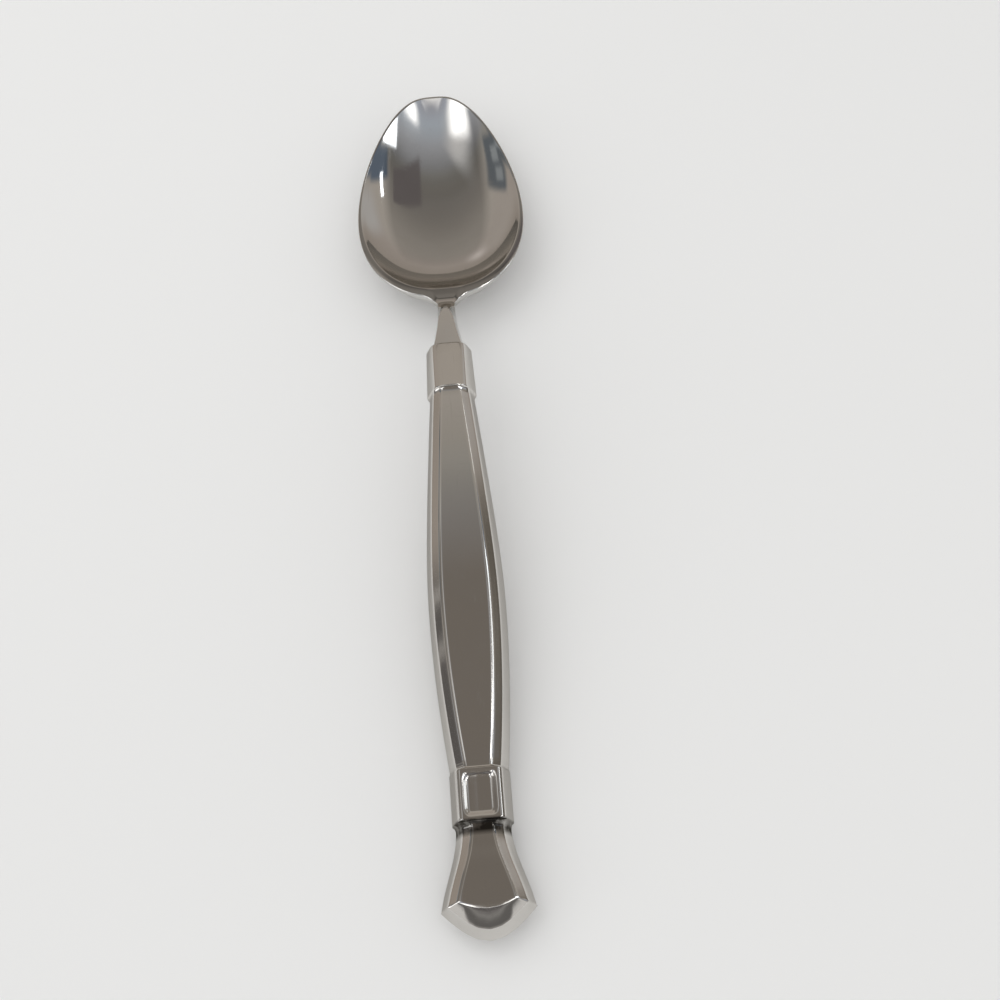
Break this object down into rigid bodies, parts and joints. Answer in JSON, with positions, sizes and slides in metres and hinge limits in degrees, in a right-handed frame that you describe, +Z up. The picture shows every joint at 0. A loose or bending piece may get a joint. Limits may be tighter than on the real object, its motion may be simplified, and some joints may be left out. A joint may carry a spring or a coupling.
{
  "type": "teaspoon",
  "caption": "Polished steel teaspoon with an egg-shaped bowl, a cranked neck and a hollow, facetted handle with a collar, a panelled band and a flared finial.",
  "frame": {"origin": "middle of the spoon's length and width, on the table that it lies on", "axes": "+Y along the spoon from the handle's end to the bowl's tip, +X to the right seen from the handle's end, +Z up out of the bowl's hollow"},
  "size_m": [0.0312, 0.162, 0.0165],
  "materials": {
    "bowl_steel": "mirror polished stainless steel with fine wiping scratches",
    "handle_steel": "mirror polished stainless steel, a little wavy from stamping and buffing",
    "solder": "dull silver solder",
    "cement": "dull grey resin cement"
  },
  "bodies": {
    "root": {"bowl_and_tang": "bowl_steel", "front_shell": "handle_steel", "back_shell": "handle_steel", "seam_solder": "solder", "tang_cement": "cement"}
  },
  "joints": []
}
